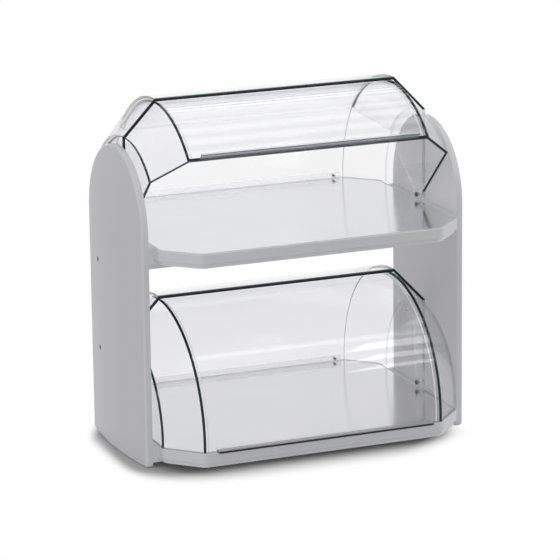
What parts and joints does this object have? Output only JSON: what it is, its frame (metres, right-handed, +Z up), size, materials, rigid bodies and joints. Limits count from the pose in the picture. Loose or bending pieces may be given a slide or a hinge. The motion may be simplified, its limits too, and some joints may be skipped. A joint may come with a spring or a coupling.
{
  "type": "pastry display case",
  "caption": "Tiered countertop pastry display case: bowed grey side panels carry polished trays under clear roll-top lids that swing back inside fixed clear hoods.",
  "frame": {"origin": "on the counter, at the bottom centre of the case: midway between the side panels and on the plane of the lid pivots", "axes": "+X to the right as seen from the front, -Y out of the front where the lids open, +Z up"},
  "size_m": [0.5254, 0.384, 0.5225],
  "materials": {
    "panel_grey": "satin grey, faintly textured",
    "tray_grey": "satin grey",
    "floor_steel": "mirror-polished stainless steel",
    "strip_white": "gloss white",
    "clear_acrylic": "clear polished sheet with dark green cut edges",
    "grip_acrylic": "clear strip, frosted",
    "grey_plastic": "satin grey",
    "clear_nylon": "natural nylon",
    "black_screw": "black oxide",
    "side_screw": "dark bronze plating",
    "zinc_screw": "zinc plated",
    "insert_brass": "plain"
  },
  "bodies": {
    "frame": {"left_side_panel": "panel_grey", "right_side_panel": "panel_grey", "cross_rail": "tray_grey", "rail_screws": "side_screw", "hood_screws": "side_screw", "hood_spacers": "clear_nylon", "lower_tray_rim": "tray_grey", "lower_tray_floor": "floor_steel", "lower_tray_bottom": "tray_grey", "lower_hood_strip": "strip_white", "lower_hood_strip_screws": "black_screw", "lower_left_cleat": "tray_grey", "lower_right_cleat": "tray_grey", "lower_cleat_screws": "zinc_screw", "lower_tray_screws": "zinc_screw", "lower_pivot_bushes": "clear_nylon", "lower_pivot_spacers": "grey_plastic", "lower_pivot_washers": "clear_nylon", "lower_pivot_screws": "black_screw", "lower_pivot_inserts": "insert_brass", "lower_hood_barrel": "clear_acrylic", "lower_hood_left_corner": "clear_acrylic", "lower_hood_right_corner": "clear_acrylic", "lower_hood_left_cheek": "clear_acrylic", "lower_hood_right_cheek": "clear_acrylic", "upper_tray_rim": "tray_grey", "upper_tray_floor": "floor_steel", "upper_tray_bottom": "tray_grey", "upper_hood_strip": "strip_white", "upper_hood_strip_screws": "black_screw", "upper_left_cleat": "tray_grey", "upper_right_cleat": "tray_grey", "upper_cleat_screws": "zinc_screw", "upper_tray_screws": "zinc_screw", "upper_pivot_bushes": "clear_nylon", "upper_pivot_spacers": "grey_plastic", "upper_pivot_washers": "clear_nylon", "upper_pivot_screws": "black_screw", "upper_pivot_inserts": "insert_brass", "upper_hood_barrel": "clear_acrylic", "upper_hood_left_corner": "clear_acrylic", "upper_hood_right_corner": "clear_acrylic", "upper_hood_left_cheek": "clear_acrylic", "upper_hood_right_cheek": "clear_acrylic"},
    "lower_lid": {"lower_lid_barrel": "clear_acrylic", "lower_lid_left_corner": "clear_acrylic", "lower_lid_right_corner": "clear_acrylic", "lower_lid_left_ear": "clear_acrylic", "lower_lid_right_ear": "clear_acrylic", "lower_lid_grip": "grip_acrylic"},
    "upper_lid": {"upper_lid_barrel": "clear_acrylic", "upper_lid_left_corner": "clear_acrylic", "upper_lid_right_corner": "clear_acrylic", "upper_lid_left_ear": "clear_acrylic", "upper_lid_right_ear": "clear_acrylic", "upper_lid_grip": "grip_acrylic"}
  },
  "joints": [
    {"name": "lower_lid_hinge", "type": "hinge", "parent": "frame", "child": "lower_lid", "pos_m": [0, 0, 0.041], "axis": [-1, 0, 0], "range_deg": [0, 84]},
    {"name": "upper_lid_hinge", "type": "hinge", "parent": "frame", "child": "upper_lid", "pos_m": [0, 0, 0.337], "axis": [-1, 0, 0], "range_deg": [-43.5, 40.5]}
  ]
}
